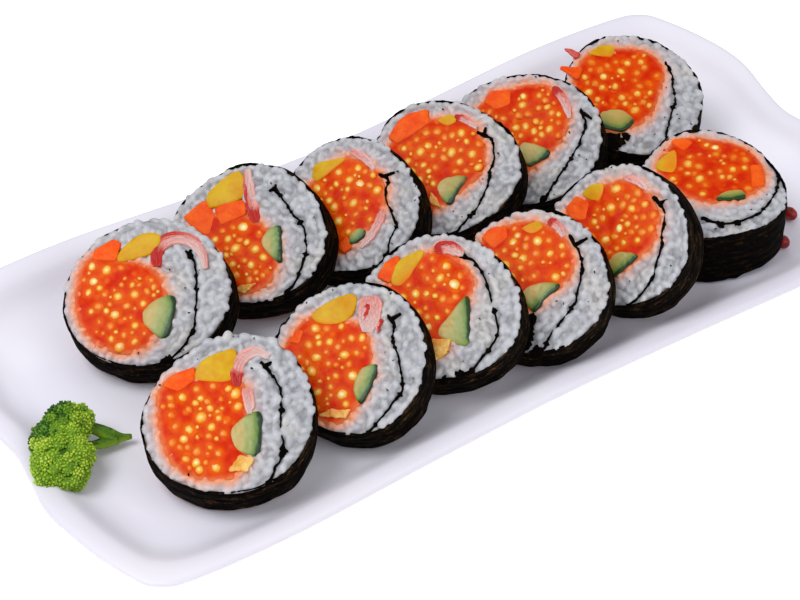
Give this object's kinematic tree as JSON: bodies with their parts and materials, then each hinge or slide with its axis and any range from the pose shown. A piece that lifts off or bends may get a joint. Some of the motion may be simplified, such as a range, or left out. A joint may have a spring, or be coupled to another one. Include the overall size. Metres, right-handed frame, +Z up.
{
  "type": "fish roe gimbap on a plate",
  "caption": "Cut slices of a thick rice roll filled with fish roe and vegetables, laid in two leaning rows on a long white plate with a broccoli floret.",
  "frame": {"origin": "on the table under the middle of the plate", "axes": "+X along the plate's long side, away from the broccoli; +Y from the front row of slices to the back row; +Z up"},
  "size_m": [0.323, 0.1578, 0.0515],
  "materials": {
    "porcelain": "smooth white glaze, glossy",
    "rice": "cooked short grain rice, moist and translucent white",
    "seaweed": "dried seaweed sheet, near black, wrinkled, slight gloss",
    "roe": "wet orange-red roe with pale yellow eggs, glossy and translucent",
    "carrot": "cut cooked carrot, moist",
    "radish": "pickled yellow radish, smooth and moist",
    "crab_stick": "surimi strands, red outside and pink inside",
    "cucumber": "pale green flesh with a dark green skin",
    "egg": "fried egg strip, yellow-brown",
    "broccoli": "blanched broccoli, fine buds, yellow-green to dark green",
    "red_bead": "dark red, wet and translucent"
  },
  "bodies": {
    "root": {"plate": "porcelain", "slice_back_1": "rice", "slice_back_2": "rice", "slice_back_3": "rice", "slice_back_4": "rice", "slice_back_5": "rice", "slice_back_6": "rice", "slice_front_1": "rice", "slice_front_2": "rice", "slice_front_3": "rice", "slice_front_4": "rice", "slice_front_5": "rice", "slice_front_6": "rice", "broccoli_floret": "broccoli", "red_bead_1": "red_bead", "red_bead_2": "red_bead"}
  },
  "joints": []
}
